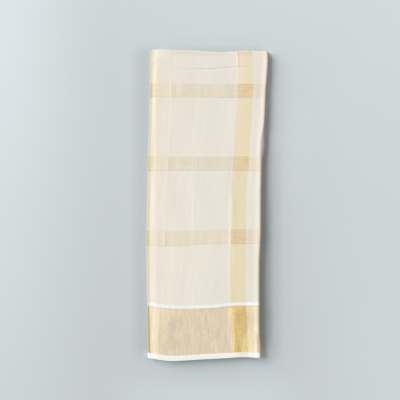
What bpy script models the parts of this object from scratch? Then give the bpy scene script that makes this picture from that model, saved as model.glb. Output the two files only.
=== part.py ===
"""A handloom dhoti cloth: a long cotton length with gold stripes, folded into a flat bundle.

The cloth is folded in half twice along its length and then twice across, which makes sixteen plies.
The bundle lies on its underside, +Y towards the fold that closes its length and -Y towards the
open end, where the cut end of the upper ply shows its hem. Its left side is the fold that holds all
sixteen plies. Its right side is a fold of the upper eight, with the selvedges of the lower eight
below it. Every form is worked out on the plan (across, along) of the bundle, both from 0 to 1.
"""

import math
from collections import namedtuple

import bmesh
import bpy

# The cloth and the bundle, in metres.
CLOTH_LENGTH = 3.60
CLOTH_WIDTH = 1.33
FOLDED_IN = 4
BUNDLE_LENGTH = CLOTH_LENGTH / FOLDED_IN
BUNDLE_WIDTH = CLOTH_WIDTH / FOLDED_IN
WALL = 0.0012
GAP = 0.0003
CLEAR = WALL + GAP  # how far a hidden layer stays inside an outer panel's face
HEM_WIDTH = 0.0145
HEM_WALL = 0.0010

# The under panel turns up round a lip, and the upper panel's left side stands on it. From there up
# that side is the fold of the whole bundle: it follows a superellipse that reaches this far in.
LIP_RADIUS = 0.0027
LIP_RIM_SHARE = 1.08  # the lip ends in a short upright rim
SEAM_HEIGHT = 0.0040
SEAM_RIM_SHARE = -0.05  # and so does the side above it
LEFT_REACH = 0.0080
LEFT_ACROSS_POWER = 2.4
LEFT_UP_POWER = 1.8

# The right fold is a bead: its crest stands above the panel beside it, and its side comes down to
# the lower half of the bundle. The fold at the end of the length comes down over one quarter.
BEAD_REACH = 0.0060
BEAD_RISE = 0.0012
BEAD_FADE = 0.0150
BEAD_FOOT_SHARE = 0.44
END_FOLD_REACH = 0.0060
END_FOLD_FOOT_SHARE = 0.72
FOLD_POWER = 2.4
CORNER_FADE = 0.0160
CORNER_RADIUS = 0.0120
UNDER_END_INSET = 0.0016
UNDER_SELVEDGE_INSET = 0.0020

# The lower selvedges stand out beyond the right fold along this stretch.
BULGE_REACH = 0.0075
BULGE_CENTRE = 0.685
BULGE_HALF_LENGTH = 0.085

# The long sides, as distances from the middle of the bundle, from the open end upwards.
Side = namedtuple("Side", "along left right")
SIDES = (
    Side(0.000, -0.1690, 0.1568),
    Side(0.035, -0.1705, 0.1570),
    Side(0.080, -0.1713, 0.1546),
    Side(0.190, -0.1728, 0.1542),
    Side(0.320, -0.1750, 0.1548),
    Side(0.400, -0.1757, 0.1572),
    Side(0.480, -0.1738, 0.1586),
    Side(0.610, -0.1724, 0.1592),
    Side(0.700, -0.1694, 0.1616),
    Side(0.770, -0.1672, 0.1692),
    Side(0.870, -0.1654, 0.1746),
    Side(0.965, -0.1644, 0.1799),
    Side(1.000, -0.1640, 0.1791),
)

# How thick the bundle lies, along it from the open end.
Height = namedtuple("Height", "along height")
HEIGHTS = (
    Height(0.00, 0.0190),
    Height(0.10, 0.0194),
    Height(0.32, 0.0196),
    Height(0.51, 0.0182),
    Height(0.66, 0.0166),
    Height(0.79, 0.0150),
    Height(1.00, 0.0136),
)

# The two ends, from the left side to the right.
End = namedtuple("End", "across open_end fold_end")
ENDS = (
    End(0.00, -0.4425, 0.4482),
    End(0.05, -0.4450, 0.4512),
    End(0.12, -0.4485, 0.4508),
    End(0.20, -0.4510, 0.4501),
    End(0.30, -0.4500, 0.4497),
    End(0.42, -0.4476, 0.4480),
    End(0.52, -0.4459, 0.4452),
    End(0.64, -0.4438, 0.4445),
    End(0.72, -0.4423, 0.4460),
    End(0.80, -0.4403, 0.4496),
    End(0.88, -0.4402, 0.4490),
    End(1.00, -0.4425, 0.4460),
)

# How far each leaf of two hidden plies ends inside the outline, from the lowest leaf up. The leaves
# whose right or fold end is far in lie inside a fold of the outer panels.
Leaf = namedtuple("Leaf", "right open_end fold_end bulges")
LEAVES = (
    Leaf(0.0016, 0.0048, 0.0062, 0.90),
    Leaf(0.0010, 0.0030, 0.0052, 1.00),
    Leaf(0.0018, 0.0062, 0.0014, 0.75),
    Leaf(0.0026, 0.0040, 0.0010, 0.45),
    Leaf(0.0048, 0.0034, 0.0012, 0.00),
    Leaf(0.0028, 0.0058, 0.0020, 0.00),
    Leaf(0.0028, 0.0042, 0.0052, 0.00),
    Leaf(0.0034, 0.0024, 0.0066, 0.00),
)
LEAF_GROOVE = 0.0016

# One line of the plan: its distance from the left side or the open end, and the share of the
# bundle's height that the panel has there.
Line = namedtuple("Line", "place share")

# How many lines or points each stretch of a form is drawn with.
LEFT_SIDE_LINES = 10
FOLD_LINES = 7
BEAD_LINES = 5
LIP_LINES = 5
HEM_LINES = 4
ACROSS_LINES = 9
UPPER_ALONG_LINES = 27
UNDER_ALONG_LINES = 25
CORNER_POINTS = 5
LONG_SIDE_POINTS = 26
SHORT_SIDE_POINTS = 12

CLOTH_COLOUR = (0.78, 0.74, 0.66, 1.0)
HEM_COLOUR = (0.90, 0.89, 0.86, 1.0)


def smooth_step(share):
    share = min(max(share, 0.0), 1.0)
    return share * share * (3.0 - 2.0 * share)


def through_rows(rows, column, at):
    """A smooth curve through one column of a table: cubic Hermite pieces with central slopes."""
    places = [row[0] for row in rows]
    values = [getattr(row, column) for row in rows]

    def slope(k):
        low, high = max(k - 1, 0), min(k + 1, len(rows) - 1)
        return (values[high] - values[low]) / (places[high] - places[low])

    at = min(max(at, places[0]), places[-1])
    k = max(i for i, place in enumerate(places[:-1]) if place <= at)
    span = places[k + 1] - places[k]
    t = (at - places[k]) / span
    return (
        values[k] * (1 + 2 * t) * (1 - t) ** 2
        + values[k + 1] * t * t * (3 - 2 * t)
        + span * (slope(k) * t * (1 - t) ** 2 - slope(k + 1) * t * t * (1 - t))
    )


def plan_point(across, along):
    """Where a point of the plan lies, as the long sides and the ends bend it."""
    left = through_rows(SIDES, "left", along)
    right = through_rows(SIDES, "right", along)
    open_end = through_rows(ENDS, "open_end", across)
    fold_end = through_rows(ENDS, "fold_end", across)
    return left + across * (right - left), open_end + along * (fold_end - open_end)


def bundle_height(along):
    return through_rows(HEIGHTS, "height", along)


def bulge(along):
    """How far the lower selvedges stand out here, a soft bump along the right side."""
    offset = abs(along - BULGE_CENTRE) / BULGE_HALF_LENGTH
    return BULGE_REACH * smooth_step(1.0 - offset)


def left_inset(share):
    """How far in the left side is, at a share of the height above its seam."""
    rest = 1.0 - min(max(share, 0.0), 1.0) ** LEFT_UP_POWER
    return LEFT_REACH * (1.0 - rest ** (1.0 / LEFT_ACROSS_POWER))


def left_share(inset):
    """The same side read the other way: its share of the height, this far in."""
    rest = 1.0 - (1.0 - inset / LEFT_REACH) ** LEFT_ACROSS_POWER
    return rest ** (1.0 / LEFT_UP_POWER)


def inside_lip(height):
    """How far in a hidden layer stays at this height to clear the lip of the under panel."""
    inner_radius = LIP_RADIUS - CLEAR
    below = min(max(LIP_RADIUS - height, 0.0), inner_radius)
    return LIP_RADIUS - math.sqrt(inner_radius**2 - below**2)


def spread(first, last, count):
    return [first + (last - first) * k / (count - 1) for k in range(count)]


def fold_profile(reach, fall):
    """A quarter of a superellipse, from a fold's crest to its foot: (inset, drop) pairs."""
    pairs = []
    for angle in spread(0.0, math.pi / 2, FOLD_LINES)[1:]:
        inset = reach * (1.0 - math.sin(angle) ** (2.0 / FOLD_POWER))
        drop = fall * (1.0 - max(math.cos(angle), 0.0) ** (2.0 / FOLD_POWER))
        pairs.append((inset, drop))
    return pairs


def upper_across_lines():
    """Up the left side, over the top, up the bead of the right fold and round it."""
    insets = [LEFT_REACH * t * t for t in spread(0.0, 1.0, LEFT_SIDE_LINES)]
    lines = [Line(0.0, SEAM_RIM_SHARE)]
    lines += [Line(inset / BUNDLE_WIDTH, left_share(inset)) for inset in insets]
    bead_start = 1.0 - (BEAD_REACH + BEAD_FADE) / BUNDLE_WIDTH
    for place in spread(lines[-1].place, bead_start, ACROSS_LINES)[1:]:
        lines.append(Line(place, 1.0))
    rise = BEAD_RISE / (bundle_height(0.0) - SEAM_HEIGHT)
    for t in spread(0.0, 1.0, BEAD_LINES)[1:]:
        place = bead_start + t * BEAD_FADE / BUNDLE_WIDTH
        lines.append(Line(place, 1.0 + rise * smooth_step(t)))
    for inset, drop in fold_profile(BEAD_REACH, 1.0 + rise - BEAD_FOOT_SHARE):
        lines.append(Line(1.0 - inset / BUNDLE_WIDTH, 1.0 + rise - drop))
    return lines


def upper_along_lines():
    """From the open end to the fold that closes the length, and round it."""
    last = 1.0 - END_FOLD_REACH / BUNDLE_LENGTH
    lines = [Line(place, 1.0) for place in spread(0.0, last, UPPER_ALONG_LINES)]
    for inset, drop in fold_profile(END_FOLD_REACH, 1.0 - END_FOLD_FOOT_SHARE):
        lines.append(Line(1.0 - inset / BUNDLE_LENGTH, 1.0 - drop))
    return lines


def upper_point(across, along):
    """A point of the upper panel's outer face: each fold takes its share of the height."""
    x, y = plan_point(across.place, along.place)
    above_seam = bundle_height(along.place) - SEAM_HEIGHT
    return x, y, SEAM_HEIGHT + above_seam * across.share * along.share


def lip_lines(length):
    """The quarter round of the under panel's lip, from its rim down to the floor."""
    lines = [Line(0.0, LIP_RIM_SHARE)]
    for angle in spread(0.0, math.pi / 2, LIP_LINES):
        inset = LIP_RADIUS * (1.0 - math.cos(angle))
        lines.append(Line(inset / length, 1.0 - math.sin(angle)))
    return lines


def under_across_lines():
    """Down the lip on the left side, round onto the floor and out to the lower selvedge."""
    lip = lip_lines(BUNDLE_WIDTH)
    return lip + [Line(place, 0.0) for place in spread(lip[-1].place, 1.0, ACROSS_LINES)[1:]]


def under_along_lines():
    """From the open end, flat on the floor, and up the lip at the fold end."""
    lip = [Line(1.0 - line.place, line.share) for line in reversed(lip_lines(BUNDLE_LENGTH))]
    first = UNDER_END_INSET / BUNDLE_LENGTH
    flat = spread(first, lip[0].place, UNDER_ALONG_LINES)[:-1]
    return [Line(place, 0.0) for place in flat] + lip


def under_point(across, along):
    """A point of the under panel's outer face, which is flat but for its two lips."""
    selvedge = UNDER_SELVEDGE_INSET - bulge(along.place)
    x, y = plan_point(across.place * (1.0 - selvedge / BUNDLE_WIDTH), along.place)
    from_fold_end = (1.0 - along.place) * BUNDLE_LENGTH
    from_left = across.place * BUNDLE_WIDTH
    left_lip = across.share * smooth_step(from_fold_end / CORNER_FADE)
    end_lip = along.share * smooth_step(from_left / CORNER_FADE)
    return x, y, LIP_RADIUS * (left_lip + end_lip)


def rounded_outline(left, right, south, north):
    """A rectangle with round corners on the unbent plan, in metres from its open left corner."""
    centre_x = (left + BUNDLE_WIDTH - right) / 2
    centre_y = (south + BUNDLE_LENGTH - north) / 2
    half_x = (BUNDLE_WIDTH - right - left) / 2 - CORNER_RADIUS
    half_y = (BUNDLE_LENGTH - north - south) / 2 - CORNER_RADIUS
    outline = []
    for k, (sign_x, sign_y) in enumerate(((1, -1), (1, 1), (-1, 1), (-1, -1))):
        for turn in spread((k - 1) * math.pi / 2, k * math.pi / 2, CORNER_POINTS):
            x = centre_x + sign_x * half_x + CORNER_RADIUS * math.cos(turn)
            y = centre_y + sign_y * half_y + CORNER_RADIUS * math.sin(turn)
            outline.append((x, y))
        side = (2 * half_y, 0.0) if k % 2 == 0 else (0.0, 2 * half_x)
        steps = LONG_SIDE_POINTS if k % 2 == 0 else SHORT_SIDE_POINTS
        x, y = outline[-1]
        for t in spread(0.0, 1.0, steps)[1:-1]:
            outline.append((x - sign_x * side[1] * t, y - sign_y * side[0] * t))
    return outline


def leaf_ring(leaf, share, groove):
    """One ring round the hidden layers, at a share of their height."""
    low = CLEAR
    middle_height = low + (bundle_height(0.5) - 2 * CLEAR) * share
    side_share = (middle_height + CLEAR - SEAM_HEIGHT) / (bundle_height(0.5) - SEAM_HEIGHT)
    left = left_inset(side_share) + inside_lip(middle_height)
    outline = rounded_outline(
        left, leaf.right + groove, leaf.open_end + groove, leaf.fold_end + groove
    )
    ring = []
    for x, y in outline:
        across, along = x / BUNDLE_WIDTH, y / BUNDLE_LENGTH
        across += leaf.bulges * bulge(along) / BUNDLE_WIDTH * smooth_step(2 * across - 1)
        height = low + (bundle_height(along) - 2 * CLEAR) * share
        ring.append((*plan_point(across, along), height))
    return ring


def leaf_rings():
    """Rings round the hidden layers: each leaf is a groove and two edge rings."""
    rings = []
    for k, leaf in enumerate(LEAVES):
        for share, groove in ((0.0, LEAF_GROOVE), (0.3, 0.0), (0.8, 0.0)):
            rings.append(leaf_ring(leaf, (k + share) / len(LEAVES), groove))
    rings.append(leaf_ring(LEAVES[-1], 1.0, LEAF_GROOVE))
    return rings


def top_faces(count):
    """The top of the hidden layers, from one long side to the other, as it falls with the bundle."""
    first = CORNER_POINTS - 1
    last = CORNER_POINTS + LONG_SIDE_POINTS - 2
    opposite = count - SHORT_SIDE_POINTS + 1
    strips = [(k, k + 1, opposite - k - 1, opposite - k) for k in range(first, last)]
    open_end = [*range(opposite - first, count), *range(first + 1)]
    return [open_end, *strips, range(last, opposite - last + 1)]


def sheet_mesh(name, across_lines, along_lines, point):
    """An open sheet, a loft through one row of points for each line along the bundle."""
    rows = [[point(across, along) for across in across_lines] for along in along_lines]
    return loft_mesh(name, rows, closed=False)


def loft_mesh(name, rows, closed):
    mesh = bpy.data.meshes.new(name)
    form = bmesh.new()
    made = [[form.verts.new(place) for place in row] for row in rows]
    count = len(rows[0])
    for lower, upper in zip(made, made[1:]):
        for k in range(count if closed else count - 1):
            beside = (k + 1) % count
            form.faces.new((lower[k], lower[beside], upper[beside], upper[k]))
    if closed:
        form.faces.new(list(reversed(made[0])))
        for corners in top_faces(count):
            form.faces.new([made[-1][k] for k in corners])
    form.to_mesh(mesh)
    form.free()
    return mesh


def add_part(name, mesh, colour):
    material = bpy.data.materials.new(name)
    material.use_nodes = True
    shader = material.node_tree.nodes["Principled BSDF"]
    shader.inputs["Base Color"].default_value = colour
    shader.inputs["Roughness"].default_value = 0.9
    mesh.materials.append(material)
    mesh.shade_smooth()
    part = bpy.data.objects.new(name, mesh)
    bundle.objects.link(part)
    return part


def give_wall(part, thickness, offset):
    """A wall on a sheet: offset -1 puts it wholly behind the sheet's front, 1 wholly before it."""
    wall = part.modifiers.new("wall", "SOLIDIFY")
    wall.thickness = thickness
    wall.offset = offset
    wall.use_even_offset = True


def make_upper_panel():
    mesh = sheet_mesh("upper_panel", upper_across_lines(), upper_along_lines(), upper_point)
    give_wall(add_part("upper_panel", mesh, CLOTH_COLOUR), WALL, -1.0)


def make_end_hem():
    """The narrow hem on the upper panel's cut end, its points moved out from the panel's."""
    hem_end = HEM_WIDTH / BUNDLE_LENGTH
    hem_lines = [Line(place, 1.0) for place in spread(0.0, hem_end, HEM_LINES)]
    mesh = sheet_mesh("end_hem", upper_across_lines(), hem_lines, upper_point)
    hem = add_part("end_hem", mesh, HEM_COLOUR)
    lift = hem.modifiers.new("lift", "DISPLACE")
    lift.mid_level = 0.0
    lift.strength = GAP
    give_wall(hem, HEM_WALL, 1.0)


def make_inner_layers():
    mesh = loft_mesh("inner_layers", leaf_rings(), closed=True)
    add_part("inner_layers", mesh, CLOTH_COLOUR)


def make_under_panel():
    mesh = sheet_mesh("under_panel", under_across_lines(), under_along_lines(), under_point)
    give_wall(add_part("under_panel", mesh, CLOTH_COLOUR), WALL, 1.0)


for old in list(bpy.data.objects):
    bpy.data.objects.remove(old)
bundle = bpy.data.collections.new("dhoti_cloth")
bpy.context.scene.collection.children.link(bundle)

make_upper_panel()
make_end_hem()
make_inner_layers()
make_under_panel()
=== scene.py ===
import math
from types import SimpleNamespace

import bpy
import numpy as np
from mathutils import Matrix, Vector


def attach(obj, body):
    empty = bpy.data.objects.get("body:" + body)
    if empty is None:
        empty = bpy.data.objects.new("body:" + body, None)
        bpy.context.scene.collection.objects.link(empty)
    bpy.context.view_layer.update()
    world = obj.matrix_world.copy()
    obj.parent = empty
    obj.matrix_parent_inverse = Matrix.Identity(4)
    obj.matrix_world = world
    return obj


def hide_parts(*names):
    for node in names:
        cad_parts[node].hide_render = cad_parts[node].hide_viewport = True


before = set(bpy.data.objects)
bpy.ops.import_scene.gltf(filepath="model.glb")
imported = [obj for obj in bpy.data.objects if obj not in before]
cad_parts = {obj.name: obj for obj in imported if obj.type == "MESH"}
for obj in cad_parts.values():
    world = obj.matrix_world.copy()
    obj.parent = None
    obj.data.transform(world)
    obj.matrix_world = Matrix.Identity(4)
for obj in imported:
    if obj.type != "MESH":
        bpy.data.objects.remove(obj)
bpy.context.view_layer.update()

cameraLook = {
    "over": (-0.0191, 0.0151),  # the point on the floor that it looks down on
    "height": 2.414,
    "width": 1.16,  # how much it sees across, at the height of the cloth
    "clothTop": 0.014,
}


def linked(name, data):
    made = bpy.data.objects.new(name, data)
    bpy.context.scene.collection.objects.link(made)
    return made


def addCamera():
    data = bpy.data.cameras.new("camera")
    distance = cameraLook["height"] - cameraLook["clothTop"]
    data.lens = data.sensor_width * distance / cameraLook["width"]
    data.dof.use_dof = False
    camera = linked("camera", data)
    camera.location = (*cameraLook["over"], cameraLook["height"])
    bpy.context.scene.camera = camera


addCamera()

lightLook = {
    "keyFrom": 158.0,  # degrees round from +X, seen from above: from the left, a little from the top
    "keyUp": 21.5,
    "keySpread": 54.0,  # how wide the lamp looks from the cloth, in degrees
    "keyStrength": 5.75,
    "keyColour": (0.985, 1.0, 1.0),
    "skyColour": (1.0, 0.985, 0.95),
    "skyStrength": 0.325,
}


def addLights():
    turn, rise = math.radians(lightLook["keyFrom"]), math.radians(lightLook["keyUp"])
    back = Vector((math.cos(turn) * math.cos(rise), math.sin(turn) * math.cos(rise), math.sin(rise)))
    data = bpy.data.lights.new("keyLight", "SUN")
    data.angle = math.radians(lightLook["keySpread"])
    data.energy = lightLook["keyStrength"]
    data.color = lightLook["keyColour"]
    key = linked("keyLight", data)
    key.location = back * 3.0
    key.rotation_mode = "QUATERNION"
    key.rotation_quaternion = back.to_track_quat("Z", "Y")
    world = bpy.data.worlds.new("studio")
    world.use_nodes = True
    sky = world.node_tree.nodes["Background"]
    sky.inputs["Color"].default_value = (*lightLook["skyColour"], 1)
    sky.inputs["Strength"].default_value = lightLook["skyStrength"]
    bpy.context.scene.world = world


addLights()
bpy.context.scene.view_settings.view_transform = "Standard"

bundle = {
    "width": 0.3325,
    "length": 0.90,
    "heightAt": (0.0, 0.10, 0.32, 0.51, 0.66, 0.79, 1.0),  # along it from the open end: how thick it lies
    "height": (0.0190, 0.0194, 0.0196, 0.0182, 0.0166, 0.0150, 0.0136),
    "bulge": 0.0075,  # the lower selvedges stand out by this beyond the right fold
    "bulgeCentre": 0.685,
    "bulgeHalf": 0.085,
    # along the bundle from its open end: where its left and right sides run
    "sideAt": (0.0, 0.035, 0.08, 0.19, 0.32, 0.40, 0.48, 0.61, 0.70, 0.77, 0.87, 0.965, 1.0),
    "left": (-0.1690, -0.1705, -0.1713, -0.1728, -0.1750, -0.1757, -0.1738, -0.1724, -0.1694, -0.1672,
             -0.1654, -0.1644, -0.1640),
    "right": (0.1568, 0.1570, 0.1546, 0.1542, 0.1548, 0.1582, 0.1587, 0.1600, 0.1618, 0.1694, 0.1737,
              0.1798, 0.1791),
    # across it from the left: where its two ends run
    "endAt": (0.0, 0.05, 0.12, 0.20, 0.30, 0.42, 0.52, 0.64, 0.72, 0.80, 0.88, 1.0),
    "openEnd": (-0.4425, -0.4450, -0.4485, -0.4510, -0.4500, -0.4476, -0.4459, -0.4438, -0.4423, -0.4403,
                -0.4402, -0.4425),
    "foldEnd": (0.4482, 0.4512, 0.4508, 0.4501, 0.4500, 0.4487, 0.4456, 0.4445, 0.4458, 0.4480, 0.4480,
                0.4460),
}


def smoothStep(t):
    t = np.clip(t, 0.0, 1.0)
    return t * t * (3.0 - 2.0 * t)


def throughRows(places, values, at):
    # Cubic Hermite pieces through the values, each with the slope between its neighbours.
    places, values = np.asarray(places, float), np.asarray(values, float)
    index = np.arange(len(places))
    before, after = np.maximum(index - 1, 0), np.minimum(index + 1, len(places) - 1)
    slopes = (values[after] - values[before]) / (places[after] - places[before])
    k = np.clip(np.searchsorted(places, at, side="right") - 1, 0, len(places) - 2)
    span = places[k + 1] - places[k]
    t = np.clip((at - places[k]) / span, 0.0, 1.0)
    ends = values[k] * (1 + 2 * t) * (1 - t) ** 2 + values[k + 1] * t * t * (3 - 2 * t)
    return ends + span * (slopes[k] * t * (1 - t) ** 2 - slopes[k + 1] * t * t * (1 - t))


def sideLine(side, along):
    return throughRows(bundle["sideAt"], bundle[side], along)


def endLine(end, across):
    return throughRows(bundle["endAt"], bundle[end], np.clip(across, 0, 1))


def planPlace(across, along):
    # A share of the way from side to side and from end to end, with both sides and ends bent.
    left, openEnd = sideLine("left", along), endLine("openEnd", across)
    return (left + across * (sideLine("right", along) - left),
            openEnd + along * (endLine("foldEnd", across) - openEnd))


def bundleHeight(along):
    return throughRows(bundle["heightAt"], bundle["height"], along)


def bulgeAt(along):
    offset = np.abs(along - bundle["bulgeCentre"]) / bundle["bulgeHalf"]
    return bundle["bulge"] * smoothStep(1.0 - offset)


def softNoise(x, y, waveX, waveY, seed, count=28):
    # A sum of plane waves of random direction and phase, each about the given wavelengths, near -1 to 1.
    rng = np.random.default_rng(seed)
    turn, phase = rng.uniform(0, 2 * np.pi, count), rng.uniform(0, 2 * np.pi, count)
    size = rng.uniform(0.55, 1.5, count)
    total = np.zeros(np.broadcast(x, y).shape)
    for a, p, s in zip(turn, phase, size):
        total += np.sin(2 * np.pi * s * (np.cos(a) * x / waveX + np.sin(a) * y / waveY) + p)
    return total / math.sqrt(count / 2) / 1.6


def spacedLines(low, high, count, dense=()):
    # Places from low to high, closer together round each (centre, half width, weight) in dense.
    fine = np.linspace(low, high, 4000)
    weight = np.ones_like(fine)
    for centre, half, extra in dense:
        weight += extra * np.exp(-(((fine - centre) / half) ** 2))
    total = np.concatenate([[0.0], np.cumsum((weight[1:] + weight[:-1]) / 2)])
    return np.interp(np.linspace(0, total[-1], count), total, fine)


def power(value, exponent):
    return np.sign(value) * np.abs(value) ** exponent


def unit(vectors):
    return vectors / np.maximum(np.linalg.norm(vectors, axis=-1, keepdims=True), 1e-12)


def gridNormals(points):
    # The cross product of the two directions of the grid, which points out of the bundle.
    alongGrid, acrossGrid = np.gradient(points, axis=0), np.gradient(points, axis=1)
    return unit(np.cross(alongGrid, acrossGrid))


def gridFaces(rows, columns, closedColumns=False, closedRows=False):
    i = np.arange(rows if closedRows else rows - 1)[:, None]
    j = np.arange(columns if closedColumns else columns - 1)[None, :]
    i2, j2 = (i + 1) % rows, (j + 1) % columns
    return np.stack(np.broadcast_arrays(
        i * columns + j, i2 * columns + j, i2 * columns + j2, i * columns + j2), -1).reshape(-1, 4)


def meshObject(name, points, quads, uv=None, caps=(), attributes=None):
    # points is (n, 3), quads is (m, 4) and uv is (m, 4, 2), in metres of flat cloth. A cap has the
    # uv of the last corner.
    mesh = bpy.data.meshes.new(name)
    mesh.from_pydata(points.tolist(), [], quads.tolist() + [cap.tolist() for cap in caps])
    if uv is not None:
        flat = np.zeros((len(mesh.loops), 2), np.float32)
        flat[:] = uv.reshape(-1, 2)[-1]
        flat[: quads.size] = uv.reshape(-1, 2)
        mesh.uv_layers.new(name="clothMetres").data.foreach_set("uv", flat.ravel())
    for label, values in (attributes or {}).items():
        made = mesh.attributes.new(label, "FLOAT", "POINT")
        made.data.foreach_set("value", values.astype(np.float32).ravel())
    mesh.validate()
    mesh.shade_smooth()
    return linked(name, mesh)


def cornerValues(values, quads):
    return values.reshape(-1, values.shape[-1])[quads]


# U runs across the flat cloth from the middle of the gold stripe that shows, V from its cut end.
weave = {
    "karaAt": (-0.444, -0.398, -0.340, -0.290, -0.225, -0.165, -0.078, -0.020, 0.038, 0.125, 0.183,
               0.212, 0.270, 0.328, 0.386, 0.415, 0.444),
    "kara": (0.0960, 0.0958, 0.0944, 0.0916, 0.0897, 0.0902, 0.0911, 0.0916, 0.0932, 0.1006, 0.1029,
             0.1050, 0.1099, 0.1124, 0.1133, 0.1130, 0.1096),
    # how far each weft line lies from straight, in mm, from the left side to the right
    "bendX": (-0.167, -0.132, -0.097, -0.071, -0.036, -0.010, 0.024, 0.059, 0.097, 0.143),
    "bendV": (0.0, 0.0145, 0.1503, 0.325, 0.366, 0.5405, 0.5815, 0.756, 0.797, 0.894),
    "bend": (
        (-1.2, 4.1, 6.7, 5.5, 3.8, 1.7, 0.0, -1.7, -4.1, -2.3),
        (-2.0, 3.5, 6.4, 6.7, 4.3, 1.4, -0.3, -1.7, -1.2, -3.5),
        (-3.2, 2.0, 4.9, 5.5, 4.9, 4.1, 2.6, -2.0, -3.8, -3.8),
        (-1.2, -1.2, -1.2, -1.4, -3.8, -5.5, -6.7, -7.2, -7.5, -7.5),
        (-3.5, -3.5, -3.5, -3.8, -5.2, -6.7, -7.2, -7.5, -7.5, -7.5),
        (-3.2,) * 10,
        (-3.5,) * 10,
        (-1.4, -1.4, -1.2, -0.9, -0.6, -0.3, 0.0, 0.3, 0.9, 0.9),
        (-1.2, -1.2, -0.9, -0.6, -0.3, 0.0, 0.3, 0.6, 1.2, 1.2),
        (0.6, -1.2, -0.3, 0.3, 0.6, 2.0, 3.8, 4.3, 0.9, 2.3),
    ),
    "openEndY": -0.4443,  # the place of V = 0 along a straight weft line
}


def weftPlace(x, y):
    # V of a place on the plan: its distance from the cut end, less how far its weft line is bent.
    flat = y - weave["openEndY"]
    bends = np.array(weave["bend"]) / 1000
    columns = np.stack([throughRows(weave["bendX"], row, np.clip(x, weave["bendX"][0], weave["bendX"][-1]))
                        for row in bends])
    k = np.clip(np.searchsorted(weave["bendV"], flat, side="right") - 1, 0, len(bends) - 2)
    places = np.array(weave["bendV"])
    t = smoothStep((flat - places[k]) / (places[k + 1] - places[k]))
    low = np.take_along_axis(columns, k[None], 0)[0]
    high = np.take_along_axis(columns, k[None] + 1, 0)[0]
    return flat + low + t * (high - low)


def karaPlace(y):
    return throughRows(weave["karaAt"], weave["kara"], y)


# Long soft ridges, all in mm: points (x, y), height, the widths of the left and right flank and, where
# it isn't an eighth of the length, how far the lower end takes to rise.
ridges = {
    "leftPress": {"path": ((-96.5, 385), (-97.4, 354), (-99.5, 314), (-104.7, 218), (-109.3, 122),
                           (-114, 15), (-117.7, -95), (-119.2, -172)), "height": 0.05,
                  "left": 3.2, "right": 3.6},
    "middlePress": {"path": ((-36.5, 110), (-37.5, 40), (-38.6, -10), (-40, -90)), "height": 0.10,
                    "left": 3.0, "right": 7.0},
    "bandStreak": {"path": ((21.2, 372), (22, 305), (22.8, 232)), "height": 0.06,
                   "left": 2.2, "right": 3.0},
    "karaRidge": {"path": ((75.8, 35), (75.0, 10), (73.2, -35), (71.0, -85), (70.0, -130)),
                  "height": 0.42, "left": 3.6, "right": 12.0},
    "karaRidgeLow": {"path": ((70.5, -95), (68.4, -165), (68.0, -235), (70.0, -300)), "height": 0.14,
                     "left": 3.2, "right": 12.0},
    "blockRidge": {"path": ((77.5, -292), (79.0, -310), (82.5, -350), (87.0, -400), (88.5, -446)),
                   "height": 1.35, "left": 11.5, "right": 30.0, "foot": 45},
    "topKink": {"path": ((86.0, 446), (89.0, 436), (91.0, 425), (90.4, 408), (90.0, 398)),
                "height": 0.34, "left": 1.9, "right": 2.6},
}
# The line pressed across the cloth below the far fold: points (x, y) and how deep each is, all in mm.
smileCrease = {"path": ((-120, 391.5), (-104, 391.6), (-77, 392.3), (-48, 393.4), (-25, 394.2), (-5, 393.8),
                        (19, 394.2), (45, 396.3), (68, 398.4), (91, 399.9), (114, 399.9), (135, 399.0)),
               "depth": (0.0, 0.20, 0.16, 0.24, 0.45, 0.62, 0.66, 0.62, 0.55, 0.50, 0.42, 0.0),
               "width": 2.4}
# Small wrinkles across the gold stripe where it goes over the far fold, in mm.
wrinkles = {"middle": 112, "half": 16, "from": 415, "full": 421, "fall": 435, "to": 439,
            "waveFrom": 418, "apart": 7.2, "height": 0.28}
# A dent by the left side and a small bump: centre (x, y), half widths and height, in mm.
dents = ((-147, 408.0, 5.5, 4.0, -0.50), (44.7, 429.8, 2.6, 5.0, 0.34))
# The slow swell of the plies below the top: height, wavelengths along x and y, seed, in metres.
swells = ((0.00022, 0.105, 0.24, 11), (0.00004, 0.020, 0.10, 12))


def ridgeHeight(x, y, ridge):
    # A bell across its path, faded out at both ends and uneven along it.
    path = np.array(ridge["path"], float)[::-1] / 1000.0
    d = x - throughRows(path[:, 1], path[:, 0], y)
    width = np.where(d < 0, ridge["left"], ridge["right"]) / 1000.0
    low, high = path[0, 1], path[-1, 1]
    fadeOut = 0.12 * (high - low)
    foot = ridge["foot"] / 1000.0 if "foot" in ridge else fadeOut
    fade = smoothStep((y - low) / foot) * smoothStep((high - y) / fadeOut)
    fade = fade * (1 + 0.45 * softNoise(0 * y, y, 1.0, 0.12, len(path) + 50))
    return ridge["height"] / 1000.0 * np.exp(-((d / width) ** 2)) * fade


def smileDepth(x, y):
    path = np.array(smileCrease["path"], float) / 1000.0
    line = throughRows(path[:, 0], path[:, 1], x)
    deep = throughRows(path[:, 0], np.array(smileCrease["depth"]) / 1000.0, x)
    inside = (x > path[0, 0]) & (x < path[-1, 0])
    return deep * inside * np.exp(-(((y - line) / (smileCrease["width"] / 1000.0)) ** 2))


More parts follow.
